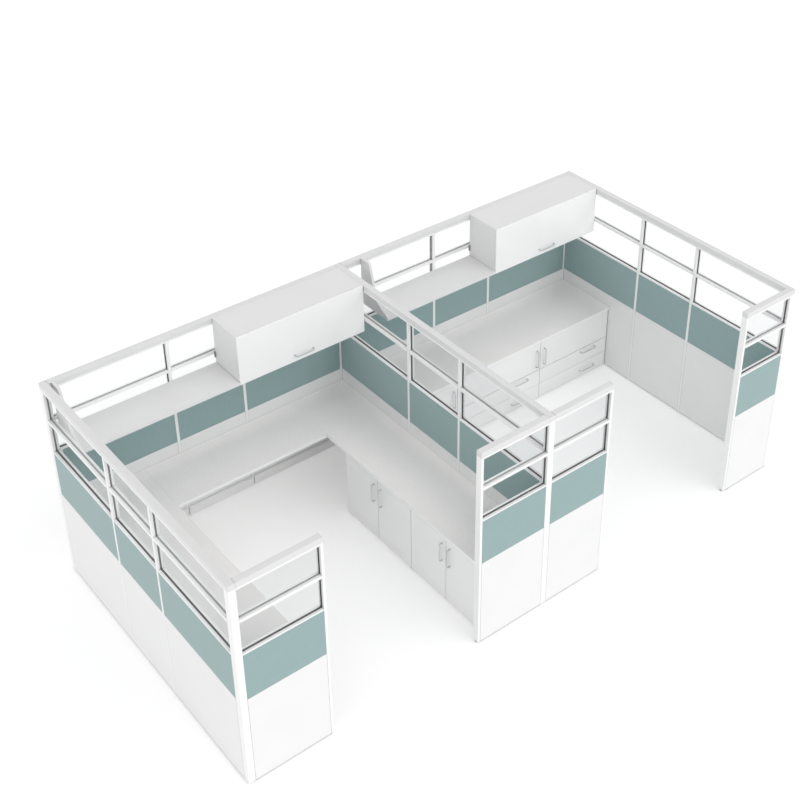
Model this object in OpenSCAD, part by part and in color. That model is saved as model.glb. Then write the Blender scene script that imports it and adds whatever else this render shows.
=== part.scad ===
// Two-person cubicle workstation: glazed panel walls, worktops, cupboards,
// storage units with drawers, overhead cabinets and open shelves.
// +Z is up, the back wall runs along X, and the origin is on the floor
// under the middle of the workstation.

/* [Walls] */
// Length of the back wall over both cubicles
overall_w = 5840; // [5500:10:6400]
// Depth from the front returns to the outside of the back wall
overall_d = 2900; // [2750:10:3300]
// Height of the walls with their caps
overall_h = 2000; // [1900:10:2200]
// Thickness of every wall, and side of the square corner posts
wall_t = 60; // [50:1:80]
// Width of the trims in the back wall's inner corners
corner_trim_w = 22; // [15:1:30]
// Height of the cap along the top of the walls
cap_h = 50; // [30:1:70]
// Chamfer along the top edges of the cap
cap_chamfer = 3; // [1:0.5:8]
// Width of the narrow posts between two panels
post_w = 28; // [20:1:40]
// Distance between the two narrow posts of one wall, centre to centre
post_pitch = 700; // [560:10:860]
// Chamfer on the long edges of posts and glazing rails
bar_chamfer = 1.5; // [0.5:0.5:4]
// Open joint line between neighbouring pieces of one sub-part
joint_line = 0.6; // [0.3:0.1:0.9]
// Length of the front return at the left wall, from its outer face
left_return_w = 765; // [700:5:900]
// Length of the middle wall's return into the left cubicle
mid_left_return_w = 690; // [600:5:800]
// Length of the middle wall's return into the right cubicle
mid_right_return_w = 640; // [500:5:800]
// Length of the front return at the right wall, from its outer face
right_return_w = 640; // [500:5:800]
// Width of the end stile of a return
end_stile_w = 25; // [15:1:40]
// Length of the closing piece at the front end of the middle wall's cap
cap_end_l = 10; // [5:1:20]

/* [Panels and glazing] */
// Height of the line where fabric tiles stand on laminate tiles
tile_seam_z = 874; // [800:2:960]
// Height of the top of the fabric tiles
tile_top_z = 1312; // [1240:2:1400]
// Thickness of a panel tile
tile_t = 14; // [8:1:20]
// Open line between a fabric tile and its neighbours above and below
tile_line = 1.6; // [0.5:0.1:3]
// Height of the glazing rail on top of the fabric tiles
sill_rail_h = 14; // [10:1:24]
// Height of the rail between the two panes of a bay
split_rail_h = 26; // [16:1:40]
// Height of the rail under the cap
head_rail_h = 18; // [10:1:30]
// Height of the hidden rails that carry the tiles
core_rail_h = 48; // [30:1:70]
// Thickness of the glass
glass_t = 6; // [4:1:10]
// Width of the gasket that lines a pane, seen along the pane
gasket_w = 4; // [3:0.5:10]
// Setback of the gasket from the wall's face
gasket_setback = 18; // [4:0.5:20]
// Clearance round a pane and its gasket
glazing_fit = 0.2; // [0.1:0.1:0.6]
// Height of the raceway cover at the foot of the back wall
raceway_h = 94; // [70:1:130]
// How far the raceway cover stands off the wall
raceway_t = 18; // [10:1:24]
// Radius of a levelling foot
foot_r = 20; // [14:1:24]
// Height of a levelling foot
foot_h = 12; // [8:1:20]
// Thickness of the levelling foot's disc
foot_disc_h = 6; // [3:1:7]
// Radius of the levelling foot's stem
foot_stem_r = 8; // [4:1:12]

/* [Worktops] */
// Height of the worktops
worktop_h = 740; // [700:5:780]
// Thickness of the worktops
worktop_t = 30; // [22:1:40]
// Thickness of the edge band on a worktop
edge_band_t = 2; // [1:0.5:3]
// Depth of the worktop along the left wall
left_run_d = 700; // [560:5:700]
// Depth of the left cubicle's worktop along the back wall
back_run_d = 600; // [500:5:700]
// Depth of the left cubicle's worktop along the middle wall
mid_run_d = 600; // [560:5:680]
// Depth of the right cubicle's worktop
right_run_d = 700; // [640:5:760]
// Reach of a cantilever bracket under a worktop
bracket_l = 420; // [300:5:470]
// Depth of a cantilever bracket at the wall
bracket_h = 70; // [50:1:110]
// Depth of a cantilever bracket at its tip
bracket_tip_h = 24; // [10:1:40]
// Thickness of a cantilever bracket
bracket_t = 6; // [3:1:10]
// Thickness of the support panel under the left worktop
support_t = 25; // [18:1:30]
// Gap between the support panel and the return or worktop edge beside it
support_gap = 15; // [5:1:40]

/* [Storage] */
// Thickness of the doors, drawer fronts and lift-up fronts
front_t = 18; // [16:1:22]
// Gap between a closed front and the case behind it
front_gap = 2.5; // [2:0.1:4]
// Half of the gap between two neighbouring fronts
front_side_gap = 2; // [1.5:0.1:3]
// Thickness of a case's sides, top, bottom and shelf
case_t = 18; // [15:1:22]
// Thickness of a case's back panel
case_back_t = 8; // [4:1:12]
// Setback of the fronts behind the worktop's edge
front_setback = 15; // [5:1:40]
// Gap between a case's back and the wall behind it
case_wall_gap = 25; // [25:1:40]
// Width of one two-door cupboard under the middle worktop
cupboard_w = 950; // [800:5:980]
// Gap between the first cupboard and the return
cupboard_gap = 10; // [5:1:30]
// Gap between the cupboards' backs and the middle wall
cupboard_back_gap = 5; // [1:1:15]
// Setback of a loose shelf behind the case's front edge
shelf_setback = 20; // [10:1:60]
// Widths of the storage units, from the right wall leftwards, as parts of their run
unit_parts = [94, 108, 80];
// Gap between the storage units and the walls at both ends
unit_end_gap = 5; // [4:1:20]
// Height of the line between the drawers and the upper doors
drawer_zone_h = 364; // [320:2:400]
// Gap between the two drawer fronts of a unit
drawer_line = 2; // [1:0.5:4]
// Depth of a drawer box behind its front
drawer_box_d = 560; // [460:5:580]
// Height of a drawer box
drawer_box_h = 106; // [80:1:112]
// Thickness of a drawer box's sides and back
drawer_wall_t = 12; // [9:1:16]
// Thickness of a drawer's bottom
drawer_bottom_t = 8; // [5:1:12]
// Width of a drawer runner
runner_w = 12; // [8:1:16]
// Height of a drawer runner
runner_h = 20; // [12:1:22]
// Running gap between a drawer and its runners
runner_gap = 0.3; // [0.2:0.1:0.6]

/* [Overheads and shelves] */
// Width of an overhead cabinet
overhead_w = 1320; // [1100:10:1350]
// Height of an overhead cabinet
overhead_h = 488; // [400:2:520]
// Depth of an overhead cabinet and of the open shelf beside it
overhead_d = 400; // [320:5:450]
// Gap between a lift-up front and the wall beside it
overhead_end_gap = 4; // [3:0.5:8]
// Thickness of an open shelf
shelf_t = 25; // [18:1:35]
// Gap between the left wall and the left shelf's end panel
left_shelf_gap = 25; // [10:5:200]
// Gap between the middle wall and the right shelf's end panel
right_shelf_gap = 200; // [10:5:260]
// Thickness of a shelf's end panel
shelf_end_t = 25; // [18:1:35]
// Width of a cabinet's hanging bracket
hanger_w = 12; // [8:1:20]
// Height of a cabinet's hanging bracket
hanger_h = 60; // [40:1:80]
// Height of a hanging bracket's lower end above the cabinet's bottom
hanger_rise = 82.5; // [40:0.5:200]
// Distance from a lift-up front's end to its knuckle
knuckle_inset = 120; // [60:5:250]
// Width of a lift-up front's hinge knuckle
knuckle_w = 8; // [5:1:12]
// Radius of a lift-up front's hinge knuckle
knuckle_r = 3.5; // [3:0.1:4]
// Clearance round a knuckle in its notch
knuckle_fit = 0.8; // [0.5:0.1:1.2]

/* [Hinges and handles] */
// Distance from a front's face and edge to its pivot
pivot_inset = 6; // [5:0.5:7]
// Radius of a pivot pin
pin_r = 2.5; // [1.5:0.1:2.8]
// Running clearance of a pin in its hole, on the radius
pin_fit = 0.05; // [0.02:0.01:0.1]
// Length of a pivot pin inside a front
pin_l = 10; // [6:1:16]
// Thickness of a pivot plate
pivot_plate_t = 2; // [1.5:0.1:3]
// Length of a pivot plate along the front
pivot_plate_w = 40; // [30:1:60]
// Gap between a front and its pivot plate
pivot_gap = 0.4; // [0.3:0.1:0.8]
// Distance between the two legs of a handle
handle_cc = 192; // [96:2:200]
// Radius of a handle's bar
handle_r = 5; // [4:0.5:7]
// Distance from a front to the centre of its handle's bar
handle_reach = 30; // [25:1:40]
// Bend radius of a handle's corners, at the bar's centre
handle_bend = 14; // [9:0.5:16]
// Radius of the washer under a handle's leg
handle_washer_r = 8; // [8:0.5:12]
// Thickness of the washer under a handle's leg
handle_washer_t = 2; // [1:0.5:3]
// Distance from the seam to an upright handle
handle_side_inset = 50; // [35:1:70]
// Height of a cupboard handle's centre
cupboard_handle_z = 520; // [300:2:560]
// Height of a unit door handle's centre
unit_handle_z = 512; // [490:2:560]
// Distance from a drawer front's right end to its handle's centre
drawer_handle_inset = 272; // [200:2:330]
// Height of an overhead handle above the cabinet's bottom
overhead_handle_h = 65; // [40:1:120]

/* [Hidden] */
// Share of the glazed height that lies under the split rail's centre
glass_split_share = 0.514;
// Shares of a drawer front's height where its handle sits, lower then upper
drawer_handle_shares = [0.46, 0.78];
// Share of a cupboard's inner height where its shelf sits
cupboard_shelf_share = 0.5;
// Share of an end panel's height and of its depth, from the flare to the top
shelf_end_shares = [[0, 1], [0.055, 1], [0.09, 0.93], [0.15, 0.78], [0.24, 0.62],
                    [0.36, 0.51], [0.52, 0.45], [0.72, 0.4], [1, 0.31]];
// Share of the raceway cover's height where its slope begins
raceway_slope_share = 0.86;

$fn = 24;
overrun = 1;
mid_x = (overall_w - wall_t) / 2;
inner_y = overall_d - wall_t;
cap_z = overall_h - cap_h;
sill_z = tile_top_z + sill_rail_h;
head_z = cap_z - head_rail_h;
split_z = sill_z + glass_split_share * (head_z - sill_z) - split_rail_h / 2;
worktop_z = worktop_h - worktop_t;
shelf_z = overall_h - overhead_h;
left_edge_x = wall_t + left_run_d;
mid_edge_x = mid_x - mid_run_d;
back_edge_y = inner_y - back_run_d;
right_edge_y = inner_y - right_run_d;
cupboard_face_x = mid_edge_x + front_setback;
cupboard_y = wall_t + cupboard_gap;
cupboard_d = mid_x - cupboard_back_gap - cupboard_face_x;
unit_face_y = right_edge_y + front_setback;
unit_d = inner_y - case_wall_gap - unit_face_y;
// Width and left end of each storage unit, from the right wall leftwards
unit_run_start = mid_x + wall_t + unit_end_gap;
unit_run_w = overall_w - wall_t - unit_end_gap - unit_run_start;
unit_w = unit_run_w * unit_parts / (unit_parts[0] + unit_parts[1] + unit_parts[2]);
unit_x = [unit_run_start + unit_w[2] + unit_w[1], unit_run_start + unit_w[2], unit_run_start];
overhead_x = [mid_x - overhead_w, overall_w - wall_t - overhead_w];
overhead_y = inner_y - overhead_d;
shelf_x = [wall_t + left_shelf_gap, mid_x + wall_t + right_shelf_gap];
case_front = front_t + front_gap;
door_z = foot_h + pivot_gap;
case_floor_z = foot_h;
case_top_z = worktop_z - pivot_plate_t;
divider_z = drawer_zone_h - case_t;
upper_door_z = drawer_zone_h + pivot_plate_t + pivot_gap;
door_top_z = case_top_z - pivot_gap;
drawer_top_z = drawer_zone_h - front_side_gap;
drawer_front_h = (drawer_top_z - door_z - drawer_line) / 2;
drawer_box_z = case_t + runner_h + 2 * runner_gap;

// Moves the workstation's front left corner so that the origin is under its middle.
module on_floor() {
    translate([-overall_w / 2, -overall_d / 2, 0]) children();
}

// A block given by its two ends along each axis.
module block(x, y, z) {
    translate([x[0], y[0], z[0]]) cube([x[1] - x[0], y[1] - y[0], z[1] - z[0]]);
}

// A rectangle with chamfered corners.
module soft_rectangle(w, d, c) {
    polygon([[c, 0], [w - c, 0], [w, c], [w, d - c], [w - c, d], [c, d], [0, d - c], [0, c]]);
}

// Stands a section up so that it runs along X, its first axis on Y, its second on Z.
module along_x(from, to) {
    translate([from, 0, 0]) rotate([90, 0, 90]) linear_extrude(to - from) children();
}

// Wall frames: u runs along the wall, v through it, from 0 to wall_t.
module at_back() {
    translate([0, inner_y, 0]) children();
}

module at_wall(x) {
    translate([x + wall_t, 0, 0]) rotate([0, 0, 90]) children();
}

// The three bays of a run of wall between two main posts.
function bays(from, to) = let (c = (from + to) / 2, near = post_pitch / 2 - post_w / 2,
                               far = post_pitch / 2 + post_w / 2)
    [[from, c - far], [c - near, c + near], [c + far, to]];

function post_places(from, to) = let (c = (from + to) / 2)
    [c - post_pitch / 2, c + post_pitch / 2];

back_left_run = [wall_t, mid_x];
back_right_run = [mid_x + wall_t, overall_w - wall_t];
back_runs = [back_left_run, back_right_run];
side_run = [wall_t, inner_y];
side_walls = [0, mid_x, overall_w - wall_t];
// Each return as its bay and the place of its end stile.
return_bays = [
    [wall_t, left_return_w - end_stile_w],
    [mid_x - mid_left_return_w + end_stile_w, mid_x],
    [mid_x + wall_t, mid_x + wall_t + mid_right_return_w - end_stile_w],
    [overall_w - right_return_w + end_stile_w, overall_w - wall_t]];
return_stiles = [left_return_w - end_stile_w, mid_x - mid_left_return_w,
    mid_x + wall_t + mid_right_return_w - end_stile_w, overall_w - right_return_w];
// The returns' feet, whose discs end in line with the returns' free ends.
return_feet = [left_return_w - foot_r, mid_x - mid_left_return_w + foot_r,
    mid_x + wall_t + mid_right_return_w - foot_r, overall_w - right_return_w + foot_r];

module rail(bay, z, h) {
    translate([0, 0, z]) along_x(bay[0] + joint_line, bay[1] - joint_line)
        soft_rectangle(wall_t, h, bar_chamfer);
}

module core_rail(bay, z) {
    block([bay[0] + joint_line, bay[1] - joint_line], [tile_t, wall_t - tile_t],
        [z, z + core_rail_h]);
}

module bay_rails(bay) {
    core_rail(bay, foot_h);
    core_rail(bay, tile_seam_z - core_rail_h / 2);
    rail(bay, tile_top_z, sill_rail_h);
    rail(bay, split_z, split_rail_h);
    rail(bay, head_z, head_rail_h);
}

module post(u, w) {
    translate([u, 0, foot_h]) linear_extrude(cap_z - foot_h)
        soft_rectangle(w, wall_t, bar_chamfer);
}

module run_frame(run) {
    for (bay = bays(run[0], run[1])) bay_rails(bay);
    for (c = post_places(run[0], run[1])) post(c - post_w / 2, post_w);
}

// Trims that close the back wall's inner corners, flush with the tiles beside them.
module corner_trims() {
    z = [foot_h, tile_top_z - tile_line / 2];
    at_back() for (run = back_runs) {
        block([run[0] + joint_line, run[0] + corner_trim_w - joint_line], [0, tile_t], z);
        block([run[1] - corner_trim_w + joint_line, run[1] - joint_line], [0, tile_t], z);
    }
}

module corner_posts() {
    color("#f2f2f0") on_floor() {
        for (x = side_walls, y = [0, inner_y]) translate([0, y, 0]) post(x, wall_t);
        corner_trims();
    }
}

module back_wall_frame() {
    color("#f2f2f0") on_floor() at_back() for (run = back_runs) run_frame(run);
}

module side_wall_frame(x) {
    color("#f2f2f0") on_floor() at_wall(x) run_frame(side_run);
}

module return_frames() {
    color("#f2f2f0") on_floor() {
        for (bay = return_bays) bay_rails(bay);
        for (u = return_stiles) post(u, end_stile_w);
    }
}

// Section of the cap, standing on the posts.
module cap_section() {
    polygon([[0, 0], [wall_t, 0], [wall_t, cap_h - cap_chamfer], [wall_t - cap_chamfer, cap_h],
        [cap_chamfer, cap_h], [0, cap_h - cap_chamfer]]);
}

module cap(from, to) {
    translate([0, 0, cap_z]) along_x(from, to) cap_section();
}

module wall_caps() {
    color("#ececea") on_floor() {
        at_wall(0) cap(0, overall_d);
        at_wall(mid_x) cap(0, cap_end_l);
        at_wall(mid_x) cap(cap_end_l + joint_line, overall_d);
        at_wall(overall_w - wall_t) cap(0, overall_d);
        at_back() for (run = back_runs) cap(run[0] + joint_line, run[1] - joint_line);
        cap(wall_t + joint_line, left_return_w);
        cap(mid_x - mid_left_return_w, mid_x - joint_line);
        cap(mid_x + wall_t + joint_line, mid_x + wall_t + mid_right_return_w);
        cap(overall_w - right_return_w, overall_w - wall_t - joint_line);
    }
}

// The two openings of a glazed bay, as heights.
function pane_heights() = [[sill_z, split_z], [split_z + split_rail_h, head_z]];

module bay_glass(bay) {
    for (z = pane_heights())
        block([bay[0] + glazing_fit, bay[1] - glazing_fit],
            [(wall_t - glass_t) / 2, (wall_t + glass_t) / 2],
            [z[0] + glazing_fit, z[1] - glazing_fit]);
}

module gasket_ring(bay, v, z) {
    f = glazing_fit;
    difference() {
        block([bay[0] + f, bay[1] - f], v, [z[0] + f, z[1] - f]);
        block([bay[0] + gasket_w, bay[1] - gasket_w], [v[0] - overrun, v[1] + overrun],
            [z[0] + gasket_w, z[1] - gasket_w]);
    }
}

module bay_gaskets(bay) {
    near = [gasket_setback, (wall_t - glass_t) / 2 - glazing_fit];
    for (z = pane_heights()) {
        gasket_ring(bay, near, z);
        gasket_ring(bay, [wall_t - near[1], wall_t - near[0]], z);
    }
}

module back_glass() {
    color("#cfe0dc", 0.35) on_floor() at_back()
        for (run = back_runs, bay = bays(run[0], run[1])) bay_glass(bay);
}

module side_glass() {
    color("#cfe0dc", 0.35) on_floor() {
        for (x = side_walls) at_wall(x)
            for (bay = bays(side_run[0], side_run[1])) bay_glass(bay);
        for (bay = return_bays) bay_glass(bay);
    }
}

module glazing_gaskets() {
    color("#1d1c1c") on_floor() {
        at_back() for (run = back_runs, bay = bays(run[0], run[1])) bay_gaskets(bay);
        for (x = side_walls) at_wall(x)
            for (bay = bays(side_run[0], side_run[1])) bay_gaskets(bay);
        for (bay = return_bays) bay_gaskets(bay);
    }
}

// A tile of a bay, on the wall's face at v or on the one that ends there.
module bay_tile(bay, v, z) {
    block([bay[0] + joint_line, bay[1] - joint_line], [v, v + tile_t], z);
}

module bay_tiles(bay, z) {
    for (v = [0, wall_t - tile_t]) bay_tile(bay, v, z);
}

fabric_z = [tile_seam_z + tile_line / 2, tile_top_z - tile_line / 2];
laminate_z = [foot_h, tile_seam_z - tile_line / 2];

// The back wall's tiles. Those inside make room for the trims in the corners.
module back_tiles(z) {
    on_floor() at_back() for (run = back_runs, bay = bays(run[0], run[1])) {
        bay_tile([max(bay[0], run[0] + corner_trim_w), min(bay[1], run[1] - corner_trim_w)], 0, z);
        bay_tile(bay, wall_t - tile_t, z);
    }
}

module side_tiles(z) {
    on_floor() {
        for (x = side_walls) at_wall(x)
            for (bay = bays(side_run[0], side_run[1])) bay_tiles(bay, z);
        for (bay = return_bays) bay_tiles(bay, z);
    }
}

module fabric_tiles_back() {
    color("#8fb0ab") back_tiles(fabric_z);
}

module fabric_tiles_side() {
    color("#8fb0ab") side_tiles(fabric_z);
}

module laminate_tiles_back() {
    color("#f5f5f3") back_tiles(laminate_z);
}

module laminate_tiles_side() {
    color("#f5f5f3") side_tiles(laminate_z);
}

// Covers of the cable raceway along the foot of the back wall, one to a bay.
module raceway_section() {
    polygon([[-raceway_t, 0], [0, 0], [0, raceway_h],
        [-raceway_t / 2, raceway_h], [-raceway_t, raceway_h * raceway_slope_share]]);
}

module raceway_covers() {
    color("#e9e9e6") on_floor() at_back() translate([0, 0, foot_h])
        for (run = back_runs, bay = bays(run[0], run[1]))
            along_x(bay[0] + joint_line, bay[1] - joint_line) raceway_section();
}

module foot(x, y) {
    translate([x, y, 0]) {
        cylinder(h = foot_disc_h, r = foot_r);
        cylinder(h = foot_h, r = foot_stem_r);
    }
}

module levelling_feet() {
    c = wall_t / 2;
    color("#3a3a3a") on_floor() {
        for (x = side_walls, y = [0, inner_y]) foot(x + c, y + c);
        for (run = back_runs, x = post_places(run[0], run[1])) foot(x, inner_y + c);
        for (x = side_walls, y = post_places(side_run[0], side_run[1])) foot(x + c, y);
        for (x = return_feet) foot(x, c);
    }
}

module worktop_board(x, y) {
    block(x, y, [worktop_z, worktop_h]);
}

module left_worktop() {
    b = edge_band_t;
    color("#d6d8d7") on_floor() {
        worktop_board([wall_t, left_edge_x - b], [wall_t, inner_y]);
        worktop_board([left_edge_x - b + joint_line, mid_edge_x + b - joint_line],
            [back_edge_y + b, inner_y]);
        worktop_board([mid_edge_x + b, mid_x], [wall_t, inner_y]);
    }
}

module right_worktop() {
    color("#d6d8d7") on_floor()
        worktop_board([mid_x + wall_t, overall_w - wall_t], [right_edge_y + edge_band_t, inner_y]);
}

module worktop_edge_bands() {
    b = edge_band_t;
    side_y = [wall_t, back_edge_y + b - joint_line];
    color("#f4f4f2") on_floor() {
        worktop_board([left_edge_x - b, left_edge_x], side_y);
        worktop_board([left_edge_x + joint_line, mid_edge_x - joint_line],
            [back_edge_y, back_edge_y + b]);
        worktop_board([mid_edge_x, mid_edge_x + b], side_y);
        worktop_board([mid_x + wall_t, overall_w - wall_t], [right_edge_y, right_edge_y + b]);
    }
}

// A cantilever plate: it reaches out along Y from a wall's face at v = 0.
module cantilever(u) {
    translate([u - bracket_t / 2, 0, worktop_z]) rotate([90, 0, 90]) linear_extrude(bracket_t)
        polygon([[0, 0], [-bracket_l, 0], [-bracket_l, -bracket_tip_h], [0, -bracket_h]]);
}

module worktop_brackets() {
    color("#b9bbbc") on_floor() {
        at_back() for (u = post_places(back_left_run[0], back_left_run[1])) cantilever(u);
        at_wall(0) for (u = post_places(side_run[0], side_run[1])) cantilever(u);
    }
}

module support_panel() {
    y = wall_t + support_gap;
    color("#f4f4f2") on_floor()
        block([wall_t + support_gap, left_edge_x - support_gap], [y, y + support_t],
            [0, worktop_z]);
}

// A case in its own frame: x across it, y back from the face of its fronts.
module case_panels(w, d, shelves) {
    y = [case_front, d];
    inner_x = [case_t + joint_line, w - case_t - joint_line];
    inner_end = d - case_back_t - joint_line;
    block([0, case_t], y, [0, worktop_z]);
    block([w - case_t, w], y, [0, worktop_z]);
    block(inner_x, [case_front, inner_end], [case_floor_z, case_floor_z + case_t]);
    block(inner_x, [case_front, inner_end], [case_top_z - case_t, case_top_z]);
    block(inner_x, [d - case_back_t, d], [case_floor_z, case_top_z]);
    for (s = shelves)
        block(inner_x, [case_front + s[1], inner_end], [s[0], s[0] + case_t]);
}

// Places a case's own frame so that its fronts face into the left cubicle.
module facing_left(y) {
    translate([cupboard_face_x, y, 0]) rotate([0, 0, -90]) children();
}

cupboard_shelf_z = case_floor_z + cupboard_shelf_share * (case_top_z - case_floor_z);

module cupboard_cases() {
    color("#efefed") on_floor() for (i = [0, 1])
        facing_left(cupboard_y + (i + 1) * cupboard_w)
            case_panels(cupboard_w, cupboard_d, [[cupboard_shelf_z, shelf_setback]]);
}

module unit_cases() {
    color("#efefed") on_floor() for (i = [0, 1, 2])
        translate([unit_x[i], unit_face_y, 0])
            case_panels(unit_w[i], unit_d, [[divider_z, 0]]);
}

// A door in its own frame: x from its hinge edge, y back from its face.
module hinged_door(w, z) {
    bore_r = pin_r + pin_fit;
    bore_l = pin_l + pivot_gap;
    difference() {
        block([front_side_gap, w - front_side_gap], [0, front_t], z);
        translate([front_side_gap + pivot_inset, pivot_inset, z[0] - overrun])
            cylinder(h = bore_l + overrun, r = bore_r);
        translate([front_side_gap + pivot_inset, pivot_inset, z[1] - bore_l])
            cylinder(h = bore_l + overrun, r = bore_r);
    }
}

// A pivot plate with its pin up, lying at height z in the same frame as the door.
module pivot_plate(z) {
    tab_x = case_t + 2 * joint_line;
    tab_y = case_front + pivot_plate_w;
    translate([0, 0, z]) linear_extrude(pivot_plate_t)
        polygon([[front_side_gap, overrun], [pivot_plate_w, overrun], [pivot_plate_w, tab_y],
            [tab_x, tab_y], [tab_x, case_front - joint_line],
            [front_side_gap, case_front - joint_line]]);
}

module pivot_pair(z) {
    x = front_side_gap + pivot_inset;
    pivot_plate(z[0] - pivot_plate_t);
    translate([x, pivot_inset, z[0] - pivot_plate_t])
        cylinder(h = pivot_plate_t + pin_l, r = pin_r);
    pivot_plate(z[1]);
    translate([x, pivot_inset, z[1] - pin_l]) cylinder(h = pivot_plate_t + pin_l, r = pin_r);
}

// The four cupboard doors: far or near end of each cupboard is its hinge side.
module cupboard_door_frame(i) {
    pair = i < 2 ? 0 : 1;
    y = cupboard_y + pair * cupboard_w;
    if (i % 2 == 0) facing_left(y) mirror([1, 0, 0]) children();
    else facing_left(y + cupboard_w) children();
}

cupboard_pins_z = [foot_h, case_top_z];
cupboard_door_w = cupboard_w / 2;

module cupboard_door(i) {
    color("#fafaf8") on_floor() cupboard_door_frame(i)
        hinged_door(cupboard_door_w, [door_z, door_top_z]);
}

// The unit doors: the first hangs on its right side, the others on their left.
module unit_door_frame(i) {
    if (i == 0) translate([unit_x[i] + unit_w[i], unit_face_y, 0]) mirror([1, 0, 0]) children();
    else translate([unit_x[i], unit_face_y, 0]) children();
}

unit_pins_z = [drawer_zone_h + pivot_plate_t, case_top_z];

module unit_door(i) {
    color("#fafaf8") on_floor() unit_door_frame(i)
        hinged_door(unit_w[i], [upper_door_z, door_top_z]);
}

module pivot_plates() {
    color("#c4c6c8") on_floor() {
        for (i = [0 : 3]) cupboard_door_frame(i) pivot_pair(cupboard_pins_z);
        for (i = [0 : 2]) unit_door_frame(i) pivot_pair(unit_pins_z);
    }
}

// A bent bar handle, upright, standing off a face at y = 0 towards -Y.
module handle_leg() {
    reach = handle_reach - handle_bend;
    rotate([90, 0, 0]) {
        cylinder(h = handle_washer_t, r = handle_washer_r);
        cylinder(h = reach, r = handle_r);
    }
    translate([0, -reach, -handle_bend]) rotate([90, 0, 90]) rotate([0, 0, 90])
        rotate_extrude(angle = 90) translate([handle_bend, 0]) circle(r = handle_r);
}

module pull_handle() {
    bar_l = handle_cc - 2 * handle_bend - 2 * joint_line;
    translate([0, 0, handle_cc / 2]) handle_leg();
    mirror([0, 0, 1]) translate([0, 0, handle_cc / 2]) handle_leg();
    translate([0, -handle_reach, -bar_l / 2]) cylinder(h = bar_l, r = handle_r);
}

module level_handle() {
    rotate([0, 90, 0]) pull_handle();
}

module cupboard_handle(i) {
    color("#a9abad") on_floor() cupboard_door_frame(i)
        translate([cupboard_door_w - handle_side_inset, 0, cupboard_handle_z]) pull_handle();
}

module unit_handle(i) {
    color("#a9abad") on_floor() unit_door_frame(i)
        translate([unit_w[i] - handle_side_inset, 0, unit_handle_z]) pull_handle();
}

// Bottom of drawer front k of a unit: 0 is the lower drawer, 1 the upper.
function drawer_z(k) = door_z + k * (drawer_front_h + drawer_line);

module drawer_frame(i, k) {
    translate([unit_x[i], unit_face_y, drawer_z(k)]) children();
}

// A drawer: its front, and a box whose bottom runs on the side rails.
module drawer(i, k) {
    w = unit_w[i];
    side = case_t + runner_w + joint_line;
    lip = case_t + 2 * joint_line;
    y = [front_t + joint_line, front_t + drawer_box_d];
    wall_z = [drawer_box_z + drawer_bottom_t + joint_line, drawer_box_z + drawer_box_h];
    color("#fafaf8") on_floor() drawer_frame(i, k) {
        block([front_side_gap, w - front_side_gap], [0, front_t], [0, drawer_front_h]);
        block([lip, w - lip], y, [drawer_box_z, drawer_box_z + drawer_bottom_t]);
        block([side, side + drawer_wall_t], y, wall_z);
        block([w - side - drawer_wall_t, w - side], y, wall_z);
        block([side + drawer_wall_t + joint_line, w - side - drawer_wall_t - joint_line],
            [y[1] - drawer_wall_t, y[1]], wall_z);
    }
}

module drawer_handle(i, k) {
    color("#a9abad") on_floor() drawer_frame(i, k)
        translate([unit_w[i] - drawer_handle_inset, 0, drawer_handle_shares[k] * drawer_front_h])
            level_handle();
}

module drawer_runners() {
    z = [drawer_box_z - runner_gap - runner_h, drawer_box_z - runner_gap];
    y = [case_front, front_t + drawer_box_d];
    color("#9ea1a3") on_floor() for (i = [0, 1, 2], k = [0, 1]) drawer_frame(i, k) {
        block([case_t, case_t + runner_w], y, z);
        block([unit_w[i] - case_t - runner_w, unit_w[i] - case_t], y, z);
    }
}

// Overhead cabinets: x across, y back from the front's face, z up from the bottom.
module overhead_frame(i) {
    translate([overhead_x[i], overhead_y, shelf_z]) children();
}

pivot_z = overhead_h - pivot_inset;
knuckle_places = [knuckle_inset, overhead_w - knuckle_inset];

// A hinge knuckle on the cabinet's top panel, with a pin out of both its sides.
module knuckle(x) {
    translate([x - knuckle_w / 2, pivot_inset, pivot_z]) rotate([0, 90, 0])
        cylinder(h = knuckle_w, r = knuckle_r);
    block([x - knuckle_w / 2, x + knuckle_w / 2], [pivot_inset, case_front + overrun],
        [pivot_z - knuckle_r, pivot_z + knuckle_r]);
    translate([x - knuckle_w / 2 - pin_l, pivot_inset, pivot_z]) rotate([0, 90, 0])
        cylinder(h = knuckle_w + 2 * pin_l, r = pin_r);
}

module overhead_cases() {
    d = overhead_d;
    w = overhead_w;
    inner_x = [case_t + joint_line, w - case_t - joint_line];
    inner_end = d - case_back_t - joint_line;
    color("#efefed") on_floor() for (i = [0, 1]) overhead_frame(i) {
        block([0, case_t], [case_front, d], [0, overhead_h]);
        block([w - case_t, w], [case_front, d], [0, overhead_h]);
        block(inner_x, [case_front, inner_end], [0, case_t]);
        block(inner_x, [case_front, inner_end], [overhead_h - case_t, overhead_h]);
        block(inner_x, [d - case_back_t, d], [0, overhead_h]);
        for (x = knuckle_places) knuckle(x);
    }
}

// A notch in a lift-up front, open behind and above, with the pin's holes beside it.
module knuckle_notch(x) {
    half_w = knuckle_w / 2 + knuckle_fit;
    r = knuckle_r + knuckle_fit;
    hole_l = 2 * (half_w + pin_l);
    block([x - half_w, x + half_w], [pivot_inset - r, front_t + overrun],
        [pivot_z - r, overhead_h + overrun]);
    translate([x - hole_l / 2, pivot_inset, pivot_z]) rotate([0, 90, 0])
        cylinder(h = hole_l, r = pin_r + pin_fit);
}

module overhead_front(i) {
    color("#fafaf8") on_floor() overhead_frame(i) difference() {
        block([0, overhead_w - overhead_end_gap], [0, front_t], [0, overhead_h]);
        for (x = knuckle_places) knuckle_notch(x);
    }
}

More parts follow.
